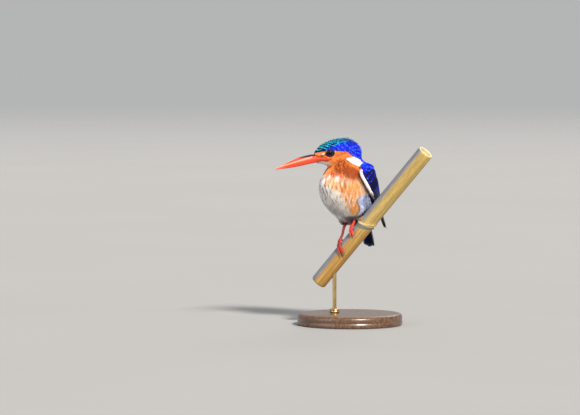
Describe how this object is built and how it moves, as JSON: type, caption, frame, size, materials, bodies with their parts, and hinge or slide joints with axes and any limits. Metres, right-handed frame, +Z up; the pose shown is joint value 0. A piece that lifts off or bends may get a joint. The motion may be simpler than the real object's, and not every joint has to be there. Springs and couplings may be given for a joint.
{
  "type": "malachite kingfisher model",
  "caption": "Life-size malachite kingfisher at rest on a slanting cut length of reed, its long bill in profile, held over a round base by a short rod.",
  "frame": {"origin": "middle of the round base's flat underside", "axes": "+Z up; the bill points towards -X and the breast towards -X and -Y, so the view that faces the bird's left cheek looks along +Y"},
  "size_m": [0.1204, 0.082, 0.1461],
  "materials": {
    "head": "satin",
    "neck": "matte",
    "trunk": "matte",
    "wing": "satin",
    "tail": "satin",
    "bill": "gloss",
    "eye": "gloss",
    "leg": "satin",
    "reed": "satin",
    "base": "satin",
    "rod": "satin"
  },
  "bodies": {
    "root": {"head": "head", "neck": "neck", "trunk": "trunk", "wing_left": "wing", "wing_right": "wing", "tail": "tail", "bill_upper": "bill", "bill_lower": "bill", "eye_left": "eye", "eye_right": "eye", "leg_left": "leg", "leg_right": "leg", "perch_reed": "reed", "stand_base": "base", "stand_rod": "rod", "stand_collar": "rod"}
  },
  "joints": []
}
